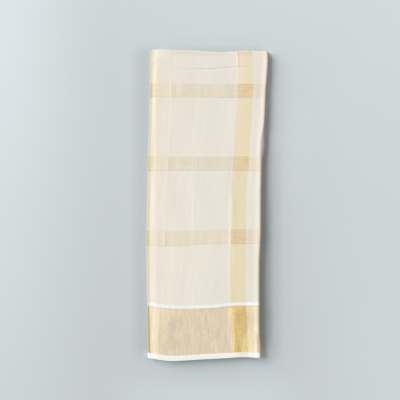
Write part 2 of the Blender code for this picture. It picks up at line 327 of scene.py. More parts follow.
def reliefHeight(x, y):
    # Every crease of the top stretch and the swell below it.
    height = sum(size * softNoise(x, y, waveX, waveY, seed) for size, waveX, waveY, seed in swells)
    for ridge in ridges.values():
        height += ridgeHeight(x, y, ridge)
    height -= smileDepth(x, y)
    xMm, yMm, w = x * 1000, y * 1000, wrinkles
    onStripe = np.exp(-(((xMm - w["middle"]) / w["half"]) ** 4))
    onFold = smoothStep((yMm - w["from"]) / (w["full"] - w["from"])) \
        * smoothStep((w["to"] - yMm) / (w["to"] - w["fall"]))
    wave = np.sin((yMm - w["waveFrom"]) * 2 * np.pi / w["apart"])
    height += w["height"] / 1000 * onStripe * onFold * wave
    for atX, atY, halfX, halfY, rise in dents:
        height += rise / 1000 * np.exp(-(((xMm - atX) / halfX) ** 2) - (((yMm - atY) / halfY) ** 2))
    return height


outerPly = {
    "thickness": 0.0004,
    # the bead is the raised edge of the right fold: how far it reaches in, how much it rises above
    # the top along the bundle, and how far from its crest it fades out
    "beadReach": 0.0060,
    "beadAt": (0.0, 0.12, 0.20, 0.32, 0.51, 0.66, 0.76, 0.87, 1.0),
    "beadRise": (0.0011, 0.0010, 0.0007, 0.0006, 0.0006, 0.0007, 0.0007, 0.0007, 0.0005),
    "beadFade": (0.0150, 0.0150, 0.0150, 0.0150, 0.0140, 0.0125, 0.0110, 0.0105, 0.0110),
    "beadFoot": 0.47,  # the share of the height where the right fold closes
    "beadPower": 2.3,
    "lean": 0.0062,  # how far it leans out over the selvedges that stand out below it
    "leanCentre": 0.692,
    "leanSpread": 0.043,
    "leftReach": 0.0028,  # the steep left side; then a shelf as far as the foot of a gentle slope
    "leftPower": 2.1,
    "slopeAt": (0.0, 0.09, 0.19, 0.32, 0.40, 0.51, 0.63, 0.70, 0.80, 0.87, 0.94, 1.0),
    "slopeDrop": (0.0014, 0.0016, 0.0014, 0.0014, 0.0014, 0.0012, 0.0013, 0.0013, 0.0017, 0.0017, 0.0014,
                  0.0014),
    "slopeFoot": (0.0050, 0.0060, 0.0045, 0.0040, 0.0040, 0.0050, 0.0040, 0.0040, 0.0050, 0.0050, 0.0040,
                  0.0040),
    "slopeReach": (0.0340, 0.0340, 0.0310, 0.0340, 0.0330, 0.0290, 0.0270, 0.0250, 0.0215, 0.0215, 0.0240,
                   0.0250),
    "seam": 0.0040,  # the height at which the left side turns under
    "lip": 0.0040,
    "endReach": 0.0060,  # the fold at the far end
    "endDrop": 0.0015,
    "endPower": 2.4,
    "firstRow": 0.0006,  # from the open end
    "selvedgeInset": 0.0020,
    "hemLift": 0.00078,
    "topLines": 118,
    "topDense": ((0.012, 0.009, 1.5), (0.066, 0.010, 1.0), (0.134, 0.020, 0.8), (0.245, 0.016, 1.4)),
    "alongLines": 214,
    "alongDense": ((0.936, 0.016, 3.2), (0.967, 0.012, 1.6)),
    "rightOfStripe": 27,  # a line of the section that runs between the right fold and the gold stripe
    "nearStripe": 60,  # and one by the stripe
}

# the hem, and the running stitch that holds it
hem = {
    "width": 0.0145,
    "above": 0.00035,  # how far it stands out of the ply's outer face
    "below": 0.00075,
    "corner": 7.0,
    "uvInset": 0.0005,
    "stitchAt": 0.0121,
    "stitch": 0.0026,
    "stitchGap": 0.0014,
    "stitchEnds": 0.004,  # how far from both sides the stitches stop
    "unevenAcross": 0.00018,
    "unevenAlong": 0.00015,
    "thread": 0.00021,
}


def slopeFall(inset, along):
    # How far the shelf and the gentle slope beside the left side lie below the top.
    o = outerPly
    drop, foot, reach = (throughRows(o["slopeAt"], o[column], along)
                         for column in ("slopeDrop", "slopeFoot", "slopeReach"))
    shelf = 0.12 * (1 - np.clip(inset / foot, 0, 1))
    return drop * (1 - smoothStep((inset - foot) / (reach - foot)) + shelf)


def sectionLines():
    # One line round the bundle, inset from its left side. Its height is fixed + share of the bundle's
    # height + rise of the bead - sloped * the fall of the left slope. Under the bundle, under is 1.
    o, width = outerPly, bundle["width"]
    names = ("inset", "fixed", "share", "rise", "beyond", "sloped", "under", "leaning")
    lines = {name: [] for name in names}

    def add(inset, **values):
        values["inset"] = inset
        for name in names:
            lines[name].append(np.broadcast_to(values.get(name, 0.0), inset.shape).astype(float))

    # the right fold, up to its crest
    turn, crest = np.radians(np.linspace(-128, 90, 19)), width - o["beadReach"]
    out, up = power(np.cos(turn), 2 / o["beadPower"]), power(np.sin(turn), 2 / o["beadPower"])
    add(crest + o["beadReach"] * out, share=(1 + up) / 2 + o["beadFoot"] * (1 - up) / 2,
        rise=(1 + up) / 2, leaning=1 - smoothStep((up + 0.2) / 1.2))
    beyond = np.linspace(0, max(o["beadFade"]), 11)[1:]
    add(crest - beyond, share=1.0, rise=1.0, beyond=beyond)
    # the top
    top = spacedLines(o["leftReach"], crest - max(o["beadFade"]), o["topLines"], o["topDense"])
    add(top[-2::-1], share=1.0, sloped=1.0)
    # the left side, its lip and the ply below
    turn = np.radians(np.linspace(90, 0, 17))[1:]
    upShare = np.sin(turn) ** (2 / o["leftPower"])
    add(o["leftReach"] * (1 - np.cos(turn) ** (2 / o["leftPower"])), fixed=o["seam"] * (1 - upShare),
        share=upShare, sloped=upShare)
    turn = np.radians(np.linspace(0, 90, 8))[1:]
    add(o["lip"] * (1 - np.cos(turn)), fixed=o["seam"] * (1 - np.sin(turn)), under=1.0)
    add(np.linspace(o["lip"], width, 25)[1:], under=1.0)
    return SimpleNamespace(**{name: np.concatenate(parts) for name, parts in lines.items()})


section = sectionLines()


def beadHeight(along, beyond):
    o = outerPly
    fade = throughRows(o["beadAt"], o["beadFade"], along)
    return throughRows(o["beadAt"], o["beadRise"], along) * (1 - smoothStep(beyond / fade))


def leanShape(along):
    return np.exp(-(((along - outerPly["leanCentre"]) / outerPly["leanSpread"]) ** 2))


def outerSurface(along):
    # The outer face at these shares of the length, one row each, with its normals.
    o, s, under = outerPly, section, section.under
    along = np.asarray(along, float)[:, None]
    across = s.inset / bundle["width"]
    selvedge = o["selvedgeInset"] - bulgeAt(along)
    across = across * (1 - under * selvedge / bundle["width"])
    x, y = planPlace(across, along)
    x = x + s.leaning * o["lean"] * leanShape(along)
    z = s.fixed + s.share * bundleHeight(along) + s.rise * beadHeight(along, s.beyond) \
        - s.sloped * slopeFall(s.inset, along)
    # the hem and its stitches lift the lowest ply a little
    lifted = 1 - smoothStep((along * bundle["length"] - hem["width"]) / 0.03)
    z = z + o["hemLift"] * under * (1 - s.fixed / o["seam"]) * lifted
    y = y + under * (0.0018 + 0.0010 * softNoise(x, 0 * x, 0.09, 1, 31)) * (1 - along) * across
    points = np.stack([x, y, z + 0 * x], -1)
    normals = gridNormals(points)
    relief = reliefHeight(x, y) * (1 - under) * np.clip(s.share * 1.15 - 0.1, 0, 1)
    return points + normals * relief[..., None], normals


def flatMetres(points):
    # U is the distance round the section from the middle of the gold stripe, V comes from the weft lines.
    steps = np.linalg.norm(np.diff(points[:, :, [0, 2]], axis=1), axis=-1)
    around = np.concatenate([np.zeros((len(points), 1)), np.cumsum(steps, axis=1)], 1)
    first, leftSide = outerPly["rightOfStripe"], int(np.argmin(section.inset))
    kara = karaPlace(points[:, outerPly["nearStripe"], 1])[:, None]
    before = (points[:, first:leftSide, 0] >= kara).sum(1) - 1 + first
    rows = np.arange(len(points))
    x0, x1 = points[rows, before, 0], points[rows, before + 1, 0]
    t = (x0 - kara[:, 0]) / (x0 - x1)
    middle = around[rows, before] * (1 - t) + around[rows, before + 1] * t
    u = middle[:, None] - around
    v = weftPlace(points[..., 0], points[..., 1])
    # near both ends the warp runs a little askew towards the left side
    askew = 0.0048 * (1 - smoothStep((v - 0.10) / 0.16)) + 0.0048 * smoothStep((v - 0.64) / 0.20)
    u = u + askew * smoothStep((-u - 0.05) / 0.16)
    return np.stack([u, v], -1)


def endRoll(points, normals, uv):
    # The fold at the far end: every line goes on by a flattened half turn towards the middle of the bundle.
    o = outerPly
    turn = np.radians(np.linspace(90, -62, 15))[1:]
    forward = o["endReach"] * np.abs(np.cos(turn)) ** (2 / o["endPower"])
    drop = o["endDrop"] * (1 - power(np.sin(turn), 2 / o["endPower"]))
    last, inward = points[-1], normals[-1] * np.array([1, 0, 1])
    rolled = last[None] - unit(inward)[None] * drop[:, None, None]
    rolled[:, :, 1] += forward[:, None]
    travelled = np.cumsum(np.hypot(np.diff(forward, prepend=0), np.diff(drop, prepend=0)))
    uvRolled = np.repeat(uv[-1:], len(turn), 0)
    uvRolled[:, :, 1] += travelled[:, None]
    return np.concatenate([points, rolled]), np.concatenate([uv, uvRolled])


# How much painted shade each place takes.
paintedShadeAmount = {"left": 0.32, "steep": 0.80, "farEnd": 0.40, "away": 0.30, "crest": 0.50, "most": 0.95}


def paintedSideShade(points):
    # Painted shade on the cloth: on the left side, over the far end, on the outer slope of the right
    # fold's upper half and, near the open end, just before that fold's crest.
    facing, y, z = gridNormals(points), points[:, :1, 1], points[..., 2]
    fromRight = bundle["width"] - section.inset
    nearLeft = 1 - smoothStep((section.inset - 0.0035) / 0.0070)
    steep = smoothStep((-facing[..., 0] - 0.2) / 0.5)
    atEnd = smoothStep((facing[..., 1] - 0.1) / 0.6)
    leaning = leanShape((y - weave["openEndY"]) / bundle["length"])
    away = smoothStep((facing[..., 0] - 0.10) / 0.35) * smoothStep((y - 0.10) / 0.09) * (1 - leaning)
    beforeCrest = smoothStep((0.0126 - fromRight) / 0.003) * smoothStep((fromRight - 0.0035) / 0.003)
    beforeCrest = beforeCrest * smoothStep((-0.360 - y) / 0.03) * (z > 0.010)
    tone = paintedShadeAmount["left"] * nearLeft + paintedShadeAmount["steep"] * steep + paintedShadeAmount["farEnd"] * atEnd \
        + paintedShadeAmount["away"] * away + paintedShadeAmount["crest"] * beforeCrest
    return np.clip(tone, 0, paintedShadeAmount["most"]) * (z > 0.0005)


def makeOuterPly():
    o = outerPly
    last = 1 - o["endReach"] / bundle["length"]
    along = spacedLines(o["firstRow"] / bundle["length"], last, o["alongLines"], o["alongDense"])
    points, normals = outerSurface(along)
    points, uv = endRoll(points, normals, flatMetres(points))
    quads = gridFaces(*points.shape[:2])
    # the crease's depth, which the material turns into painted shade along its line
    pressed = smileDepth(points[..., 0], points[..., 1]) * 1000 * (points[..., 2] > 0.008)
    piece = meshObject("outerPly", points.reshape(-1, 3), quads, cornerValues(uv, quads),
                       attributes={"paintedCreaseLine": pressed, "paintedShade": paintedSideShade(points)})
    wall = piece.modifiers.new("wall", "SOLIDIFY")
    wall.thickness = o["thickness"]
    wall.offset = -1.0
    return piece


def makeHem():
    # A sleeve round the cut end: a rounded flat loop, carried along the section line.
    turn = np.radians(np.linspace(0, 360, 29)[:-1])
    v = hem["width"] / 2 * (1 + power(np.cos(turn), 2 / hem["corner"]))
    middle, half = (hem["above"] - hem["below"]) / 2, (hem["above"] + hem["below"]) / 2
    out = middle + half * power(np.sin(turn), 2 / hem["corner"])
    points, normals = outerSurfaceAt(v)
    points = points + normals * out[:, None, None]
    rows, columns = points.shape[:2]
    u = flatMetres(points)[:1, :, 0]
    uv = np.stack([np.repeat(u, rows, 0), np.repeat(v[:, None], columns, 1)], -1)
    uv[..., 1] = np.clip(uv[..., 1], hem["uvInset"], hem["width"] - hem["uvInset"])
    quads = gridFaces(rows, columns, closedRows=True)
    ends = (np.arange(rows) * columns, (np.arange(rows) * columns + columns - 1)[::-1])
    return meshObject("endHem", points.reshape(-1, 3), quads, cornerValues(uv, quads), caps=ends)


def outerSurfaceAt(v):
    # The outer face and its normals at these distances from the cut end, one row each.
    grid = np.linspace(0, 0.03, 31)
    points, normals = outerSurface(grid / bundle["length"])
    k = np.clip(np.searchsorted(grid, v, side="right") - 1, 0, len(grid) - 2)
    t = ((v - grid[k]) / (grid[k + 1] - grid[k]))[:, None, None]
    return points[k] * (1 - t) + points[k + 1] * t, unit(normals[k] * (1 - t) + normals[k + 1] * t)


def makeStitches():
    # A running stitch: short tubes that rise out of the hem and go back into it.
    points, normals = outerSurfaceAt(np.array([hem["stitchAt"]]))
    line, out = points[0] + normals[0] * hem["above"], normals[0]
    reach = np.concatenate([[0], np.cumsum(np.linalg.norm(np.diff(line, axis=0), axis=1))])
    step = hem["stitch"] + hem["stitchGap"]
    first = np.arange(hem["stitchEnds"], reach[-1] - hem["stitchEnds"], step)
    rng = np.random.default_rng(5)
    first = first + rng.uniform(-hem["unevenAcross"], hem["unevenAcross"], len(first))
    t = np.linspace(0, 1, 6)
    at = first[:, None] + t[None] * hem["stitch"]
    place = np.stack([np.interp(at, reach, line[:, k]) for k in range(3)], -1)
    up = unit(np.stack([np.interp(at, reach, out[:, k]) for k in range(3)], -1))
    place[..., 1] += rng.uniform(-hem["unevenAlong"], hem["unevenAlong"], len(first))[:, None]
    place += up * (hem["thread"] * (1.5 * np.sin(np.pi * t) - 0.75))[:, None]
    side = unit(np.cross(unit(np.gradient(place, axis=1)), up))
    turn = np.linspace(0, 2 * np.pi, 7)[:-1]
    ring = side[:, :, None] * np.cos(turn)[:, None] + up[:, :, None] * np.sin(turn)[:, None]
    tubes = place[:, :, None] + ring * hem["thread"]
    count, along, around = tubes.shape[:3]
    one = gridFaces(along, around, closedColumns=True)[:, ::-1]
    base, end = np.arange(count)[:, None] * along * around, np.arange(around)
    quads = (one + base[:, None]).reshape(-1, 4)
    ends = [*(base + end), *(base + (along - 1) * around + end[::-1])]
    return meshObject("hemStitches", tubes.reshape(-1, 3), quads, caps=ends)


# From the lowest up, what each end or side of the bundle shows between the outer ply's two faces.
# An inset is how far in from the end or the side a leaf lies.
hiddenPlies = {
    "clearBelow": 0.0007,  # room for the outer ply's wall
    "clearAbove": 0.0016,
    "clearLeft": 0.0011,
    "clearTop": 0.0010,
    "corner": 0.007,
    "endPoints": 78,  # on the plan, between two corners
    "sidePoints": 170,
    "leafRows": (0.0, 0.07, 0.15, 0.32, 0.5, 0.68, 0.85, 0.93),  # shares of each leaf's height
    "rowsApart": 0.0035,  # rows closer than this share of the height are left out
    "ripple": 0.00022,
    # how round a leaf is, how deep the groove beside it, and the power of its curve
    "hemLeaf": (0.0005, 0.0048, 3.5),
    "foldLeaf": (0.0016, 0.0048, 2.2),
    "selvedgeLeaf": (0.0004, 0.0048, 3.0),
    "farLeaf": (0.0034, 0.0040, 2.0),
    "openEnd": (("hem", 2), ("fold", 3), ("fold", 3), ("hem", 2), ("hem", 1), ("hem", 1), ("hem", 2),
                ("fold", 3), ("fold", 3), ("hem", 2)),
    "openInset": (0.0034, 0.0058, 0.0040, 0.0026, 0.0046, 0.0020, 0.0052, 0.0030, 0.0044, 0.0016),
    "rightPlies": (2, 3, 4, 4, 3, 2, 1),
    "rightInset": (0.0024, 0.0012, 0.0030, 0.0016, 0.0022, 0.0034, 0.0042),
    "rightBulges": (1.0, 0.95, 0.9, 0.8, 0.72, 0.55, 0.40),
    "rightTop": 0.47,  # the share of the height below which the right side shows selvedges
    # slow waves of each leaf: height, shifts from leaf to leaf, wavelength, seed
    "openWaves": ((0.0011, 7.3, 1.7, 0.33, 41), (0.0004, 3.1, 2.3, 0.07, 42)),
    "rightWaves": ((0.0010, 5.9, 1.3, 0.21, 43), (0.0004, 2.7, 2.9, 0.045, 44)),
    "foldWaves": ((0.0007, 4.4, 1.9, 0.30, 45),),
    "foldFrom": (0.24, 0.50, 0.76),
    "foldInset": (0.0006, 0.0012),
    "inLoop": 0.0013,  # room between the right fold and what fills its loop
    "curlTop": 0.57,
    "underCurl": 0.0104,  # the inset between rightTop and curlTop, where the fold curls under
    "hidden": 0.0078,  # the inset at the far end behind the outer ply's own fold
    "leftFold": -0.2655,  # U of the cloth where it turns under on the left
    "foldedLength": 0.894,
}


def leafShape(t, roundness, groove, exponent):
    # Rounded between two grooves: t goes from 0 to 1 up one leaf.
    s = np.abs(2 * t - 1)
    return roundness * (1 - (1 - np.minimum(s, 1) ** exponent) ** (1 / exponent)) \
        + groove * smoothStep((s - 0.84) / 0.16)


def openBounds():
    weights = np.array([1.0 if kind == "hem" else 1.75 for kind, ply in hiddenPlies["openEnd"]])
    return np.concatenate([[0], np.cumsum(weights) / weights.sum()])


def rightBounds():
    return np.linspace(0, hiddenPlies["rightTop"], len(hiddenPlies["rightPlies"]) + 1)


def hiddenLevels():
    # Shares of the height for the rows, from the leaves of every end and side.
    local = np.array(hiddenPlies["leafRows"])
    found = [np.array([0.0, 1.0])]
    for bounds in (openBounds(), rightBounds(), np.array(hiddenPlies["foldFrom"])):
        found.append((bounds[:-1, None] + local[None] * np.diff(bounds)[:, None]).ravel())
        found.append(bounds)
    levels = np.unique(np.round(np.concatenate(found), 4))
    keep = np.concatenate([[True], np.diff(levels) > hiddenPlies["rowsApart"]])
    return levels[keep]


def insideBounds(levels, bounds):
    k = np.clip(np.searchsorted(bounds, levels, side="right") - 1, 0, len(bounds) - 2)
    return k, np.clip((levels - bounds[k]) / (bounds[k + 1] - bounds[k]), 0, 1)


def leafInset(side, k, place):
    # Each leaf's own inset and its slow waves along the end or the side.
    return np.array(hiddenPlies[side + "Inset"])[k] + sum(
        height * softNoise(place + shift * k, k * step, wave, 1.0, seed)
        for height, shift, step, wave, seed in hiddenPlies[side + "Waves"])


def openInset(level, across):
    k, t = insideBounds(level, openBounds())
    isFold = np.array([kind == "fold" for kind, ply in hiddenPlies["openEnd"]])[k]
    shape = np.where(isFold, leafShape(t, *hiddenPlies["foldLeaf"]), leafShape(t, *hiddenPlies["hemLeaf"]))
    return leafInset("open", k, across) + shape


def rightInset(level, along):
    k, t = insideBounds(level, rightBounds())
    lower = leafInset("right", k, along) + leafShape(t, *hiddenPlies["selvedgeLeaf"]) \
        - np.array(hiddenPlies["rightBulges"])[k] * bulgeAt(along)
    # above them the right fold's own loop, filled but for the strip where the fold curls under
    o = outerPly
    up = np.abs(np.clip((2 * level - 1 - o["beadFoot"]) / (1 - o["beadFoot"]), -1, 1))
    loop = o["beadReach"] * (1 - (1 - up ** o["beadPower"]) ** (1 / o["beadPower"])) + hiddenPlies["inLoop"]
    upper = np.where(level < hiddenPlies["curlTop"], hiddenPlies["underCurl"], loop)
    return np.where(level <= hiddenPlies["rightTop"], lower, upper)


def foldInset(level, across):
    bounds = np.array(hiddenPlies["foldFrom"])
    k, t = insideBounds(level, bounds)
    middle = leafInset("fold", k, across) + leafShape(t, *hiddenPlies["farLeaf"])
    inside = (level >= bounds[0]) & (level <= bounds[-1])
    return np.where(inside, middle, hiddenPlies["hidden"])


def leftInset(height, along):
    # The steep side of the outer ply read at a height, and its lip below, with room for the ply's wall.
    o = outerPly
    top = bundleHeight(along) - hiddenPlies["clearTop"] - slopeFall(0.0, along)
    upShare = np.clip((height - o["seam"]) / (top - o["seam"]), 0, 1)
    side = o["leftReach"] * (1 - (1 - upShare ** o["leftPower"]) ** (1 / o["leftPower"]))
    low = np.clip(1 - height / o["seam"], 0, 1)
    lip = o["lip"] * (1 - np.sqrt(1 - low ** 2))
    return side + lip + hiddenPlies["clearLeft"]


def roundedFrame():
    # Points round a unit rectangle whose corners are round on the plan, from its open right corner on.
    h, width, length = hiddenPlies, bundle["width"], bundle["length"]
    radius, counts, places = h["corner"], (h["sidePoints"], h["endPoints"]) * 2, []
    halfX, halfY = width / 2 - radius, length / 2 - radius
    for k, (signX, signY) in enumerate(((1, -1), (1, 1), (-1, 1), (-1, -1))):
        turn = np.linspace((k - 1) * np.pi / 2, k * np.pi / 2, 8)
        corner = np.stack([signX * halfX + radius * np.cos(turn),
                           signY * halfY + radius * np.sin(turn)], -1)
        t = np.linspace(0, 1, counts[k])[1:-1, None]
        away = np.array([(0, 2 * halfY), (-2 * halfX, 0), (0, -2 * halfY), (2 * halfX, 0)][k])
        places += [corner, corner[-1] + t * away]
    around = np.concatenate(places)
    return around[:, 0] / width + 0.5, around[:, 1] / length + 0.5


def makeHiddenPlies():
    # One closed wall round the bundle, whose rows follow the leaves of each end and side.
    h, width, length = hiddenPlies, bundle["width"], bundle["length"]
    levels = hiddenLevels()[:, None]
    shareX, shareY = (values[None, :] for values in roundedFrame())
    height = h["clearBelow"] + (bundleHeight(shareY) - h["clearBelow"] - h["clearAbove"]) * levels
    left, right = leftInset(height, shareY), rightInset(levels, shareY)
    openEnd, foldEnd = openInset(levels, shareX), foldInset(levels, shareX)
    across = (left + shareX * (width - left - right)) / width
    along = (openEnd + shareY * (length - openEnd - foldEnd)) / length
    x, y = planPlace(across, along)
    ripple = h["ripple"] * softNoise(shareX * width, shareY * length, 0.11, 0.13, 46)
    bottom = h["clearBelow"] + outerPly["hemLift"] * (1 - smoothStep(along * length / 0.05))
    top = bundleHeight(along) - slopeFall(across * width, along) - h["clearAbove"]
    z = bottom + (top - bottom) * levels + ripple * np.sin(np.pi * levels)
    points = np.stack([x, y, z], -1)
    rows, columns = points.shape[:2]
    quads = gridFaces(rows, columns, closedColumns=True)[:, ::-1]
    # each face takes the pattern of the ply it is on
    middle = (levels[:-1] + levels[1:]) / 2
    onOpen = np.array([ply for kind, ply in h["openEnd"]])[insideBounds(middle, openBounds())[0]]
    onRight = np.array(h["rightPlies"])[insideBounds(middle, rightBounds())[0]]
    onRight = np.where(middle < h["rightTop"], onRight, 3)
    atOpen = (shareY < 0.012) & (shareX > 0.02)
    ply = np.repeat(np.where(atOpen, onOpen, onRight), 4).reshape(-1, 4)
    lower = np.repeat(middle < 0.5 + 0 * shareX, 4).reshape(-1, 4)
    fromLeft = x - sideLine("left", along)
    flat = cornerValues(np.stack([x - karaPlace(y), weftPlace(x, y), fromLeft], -1), quads)
    u = np.where(lower, h["leftFold"] - flat[..., 2], flat[..., 0])
    v = np.where(ply <= 2, np.maximum(flat[..., 1] - 0.003, 0.002), 2 * h["foldedLength"] - flat[..., 1])
    caps = (np.arange(columns)[::-1], (rows - 1) * columns + np.arange(columns))
    return meshObject("hiddenPlies", points.reshape(-1, 3), quads, np.stack([u, v], -1), caps=caps)


cloth = {
    "cotton": (0.810, 0.765, 0.694),
    "cottonWarm": (0.826, 0.766, 0.672),
    "pale": (0.950, 0.885, 0.775),
    "gold": (0.832, 0.724, 0.523),
    "goldFar": (0.857, 0.752, 0.560),
    "goldInFoldShade": (0.770, 0.672, 0.520),  # painted shade where the stripe goes over the fold at the far end
    "band": (0.780, 0.702, 0.594),
    "bandPale": (0.833, 0.752, 0.614),
    "goldBand": (0.814, 0.672, 0.439),
    "goldRow": (0.60, 0.46, 0.27),  # where the gold weft of a band lies closest
    "block": (0.756, 0.635, 0.486),
    "blockYellow": (0.788, 0.679, 0.489),
    "blockPale": (0.885, 0.758, 0.548),
    "blockPaintedHighlight": (0.985, 0.862, 0.640),
    "blockDim": (0.48, 0.37, 0.24),
    "goldBlock": (0.800, 0.612, 0.268),
    "goldPaintedHighlight": (0.960, 0.800, 0.400),
    "goldPaintedShade": (0.60, 0.46, 0.22),
    "side": (0.37, 0.345, 0.285),  # painted shade on the folds' sides and over the far fold
    "paintedShadeGold": (0.42, 0.33, 0.192),
    "white": (0.887, 0.887, 0.860),
    "whiteRight": (0.955, 0.955, 0.930),
    # across the cloth (U): the gold stripes repeat, mirrored about the middle of the cloth
    "middle": 0.067,
    "stripeRepeat": 0.277,
    "stripeHalf": 0.0226,
    # along it (V): the hem, the gold block, the white line, then the bands
    "hemEnd": 0.0145,
    "blockEnd": 0.1503,
    "lineEnd": 0.1595,
    "bandMiddle": 0.3455,
    "bandRepeat": 0.2155,
    "bandHalf": 0.0205,
    # streaks along the warp, mostly painted highlight and shade on the flanks of pressed lines and glints
    # across the cloth, half width, and how much lighter the cloth is there
    "paintedStreakLines": ((-0.2145, 0.0018, 0.075), (-0.2095, 0.0011, -0.085), (-0.1396, 0.0010, 0.05),
                  (-0.1310, 0.0017, 0.07), (-0.1127, 0.0010, 0.05), (-0.0370, 0.0060, -0.02),
                  (-0.0150, 0.0012, 0.03)),
    "roughness": 0.82,
    "goldRoughness": 0.46,
    "thread": 0.00062,  # from thread to thread
}


class Field:
    # A number or a colour that varies over a surface. Arithmetic on it adds Math nodes.
    def __init__(self, tree, socket):
        self.tree, self.socket = tree, socket

    def __add__(self, other):
        return calc("ADD", self, other)

    def __sub__(self, other):
        return calc("SUBTRACT", self, other)

    def __rsub__(self, other):
        return calc("SUBTRACT", other, self)

    def __mul__(self, other):
        return calc("MULTIPLY", self, other)

    def __abs__(self):
        return calc("ABSOLUTE", self)

    __radd__, __rmul__ = __add__, __mul__

    def rising(self, low, high):
        # 0 below low, 1 above high, smooth between them
        return field(self.tree, "ShaderNodeMapRange", {"Value": self, "From Min": low, "From Max": high},
                     interpolation_type="SMOOTHSTEP")

    def falling(self, low, high):
        return 1 - self.rising(low, high)

    def between(self, low, high, soft):
        return self.rising(low - soft, low + soft) - self.rising(high - soft, high + soft)

    def wrapped(self, length):
        return calc("WRAP", self, length / 2, -length / 2)


def newMaterial(name):
    material = bpy.data.materials.new(name)
    material.use_nodes = True
    tree = material.node_tree
    return material, tree, tree.nodes["Principled BSDF"]


def setInputs(node, inputs):
    for key, value in inputs.items():
        if isinstance(value, Field):
            value.tree.links.new(value.socket, node.inputs[key])
        else:
            node.inputs[key].default_value = value


def field(tree, kind, inputs=None, output=0, **settings):
    # A new node with these settings and inputs, and the output asked for.
    node = tree.nodes.new(kind)
    for key, value in settings.items():
        setattr(node, key, value)
    setInputs(node, inputs or {})
    return Field(tree, node.outputs[output])


def treeOf(*values):
    return next(value.tree for value in values if isinstance(value, Field))


def calc(operation, *values):
    return field(treeOf(*values), "ShaderNodeMath", dict(enumerate(values)), operation=operation)


def highest(first, *others):
    for other in others:
        first = calc("MAXIMUM", first, other)
    return first


def mixColour(amount, a, b, blend="MIX"):
    a, b = (value if isinstance(value, Field) else (*value, 1.0) for value in (a, b))
    return field(treeOf(amount, a, b), "ShaderNodeMix", {"Factor": amount, 6: a, 7: b}, output=2,
                 data_type="RGBA", blend_type=blend, clamp_factor=True)


def layered(first, *layers):
    # The first colour with each layer over it, by how much it covers. A word is one of the cloth's.
    for cover, colour in layers:
        first, colour = (cloth[side] if isinstance(side, str) else side for side in (first, colour))
        first = mixColour(cover, first, colour)
    return first


def toned(colour, tone):
    grey = field(tone.tree, "ShaderNodeCombineColor", {0: tone, 1: tone, 2: tone})
    return mixColour(1.0, colour, grey, "MULTIPLY")


def noiseAt(u, v, scaleU, scaleV, detail=2.0, shift=0.0):
    place = field(u.tree, "ShaderNodeCombineXYZ", {0: u * scaleU, 1: v * scaleV, 2: shift})
    return field(u.tree, "ShaderNodeTexNoise", {"Vector": place, "Scale": 1.0, "Detail": detail},
                 noise_dimensions="3D")


def attribute(tree, name):
    return field(tree, "ShaderNodeAttribute", output="Fac", attribute_name=name)


def axesOf(place):
    return [field(place.tree, "ShaderNodeSeparateXYZ", {0: place}, output=k) for k in range(2)]


def wovenPattern(tree):
    # Where each part of the pattern is: 1 on it and 0 off it, smooth at its edges.
    u, v = axesOf(field(tree, "ShaderNodeUVMap", uv_map="clothMetres"))
    half, bandHalf = cloth["stripeHalf"], cloth["bandHalf"]
    stripeAt = (cloth["middle"] - abs(u - cloth["middle"])).wrapped(cloth["stripeRepeat"])
    stripe = stripeAt.between(-half, half, 0.0012) * (u.falling(-0.232, -0.222) * -0.2 + 1)
    besideLeft = stripeAt.between(-0.029, -0.0232, 0.0012)
    besideRight = stripeAt.between(0.0232, 0.0272, 0.001)
    bandAt = (v - cloth["bandMiddle"]).wrapped(cloth["bandRepeat"])
    pastBlock = v.rising(0.24, 0.25)
    white = v.between(cloth["blockEnd"], cloth["lineEnd"], 0.0006) \
        + v.falling(cloth["hemEnd"] - 0.0005, cloth["hemEnd"] + 0.0005)
    return SimpleNamespace(
        u=u, v=v, stripe=stripe,
        beside=(besideLeft + besideRight * 0.8) * u.rising(-0.2, -0.15),
        band=bandAt.between(-bandHalf, bandHalf, 0.0006) * pastBlock,
        bandFoot=bandAt.between(-0.0208, -0.0186, 0.0005) * pastBlock,
        bandTop=bandAt.between(0.019, 0.0212, 0.0005) * pastBlock,
        block=v.between(cloth["hemEnd"], cloth["blockEnd"], 0.0005),
        white=white * (stripe * -0.12 + 1),
        lightWarp=u.between(-0.205, -0.125, 0.012) * v.falling(0.4, 0.44),
        slow=noiseAt(u, v, 14.0, 9.0, shift=9.0))


def groundColour(on):
    u, v = on.u, on.v
    warm = ((on.slow - 0.5) * 0.3 + u).falling(-0.225, -0.1)
    warm = highest(warm, u.rising(-0.12, -0.05) * 0.5, u.rising(0.018, 0.06))
    # over the far fold: painted shade in its middle, a painted highlight towards the left
    overFold = v.rising(0.874, 0.886)
    paintedFoldShade = overFold * u.between(-0.208, -0.062, 0.012)
    pale = v.rising(0.862, 0.876) * u.between(-0.256, -0.226, 0.01)
    gold = layered("gold", (v.rising(0.7, 0.78), "goldFar"), (overFold * 0.85, "goldInFoldShade"))
    return layered("cotton", (warm, "cottonWarm"), (on.beside * 0.1, "white"), (paintedFoldShade * 0.13, "side"),
                   (pale * 0.4, "pale"), (on.stripe, gold), (on.lightWarp * 0.16, "pale"))


def bandLayers(on):
    u, v = on.u, on.v
    # paler in random patches, left of the pressed line and over the lighter warp; painted sheen of the gold
    # weft towards the right edge
    paleAndSheen = noiseAt(u, v, 30.0, 4.0, shift=17.0).rising(0.46, 0.6) * 0.8 + u.falling(-0.212, -0.2085)
    paleAndSheen = highest(paleAndSheen, u.rising(0.034, 0.05), on.lightWarp * 0.8)
    band = layered("band", (paleAndSheen * 0.85, "bandPale"), (on.beside * 0.6, "cotton"), (on.stripe, "goldBand"))
    # gold weft lies in rows across the gold stripe, and closest along the band's edges
    rows = noiseAt(u, v, 16.0, 290.0, detail=1.0, shift=24.0).rising(0.36, 0.66)
    rows = rows * on.band * (on.stripe * 0.24 + 0.07)
    edges = highest(on.bandFoot, on.bandTop * on.stripe) * on.slow.rising(0.3, 0.62)
    return (on.band, band), (edges * 0.3 + rows, "goldRow")


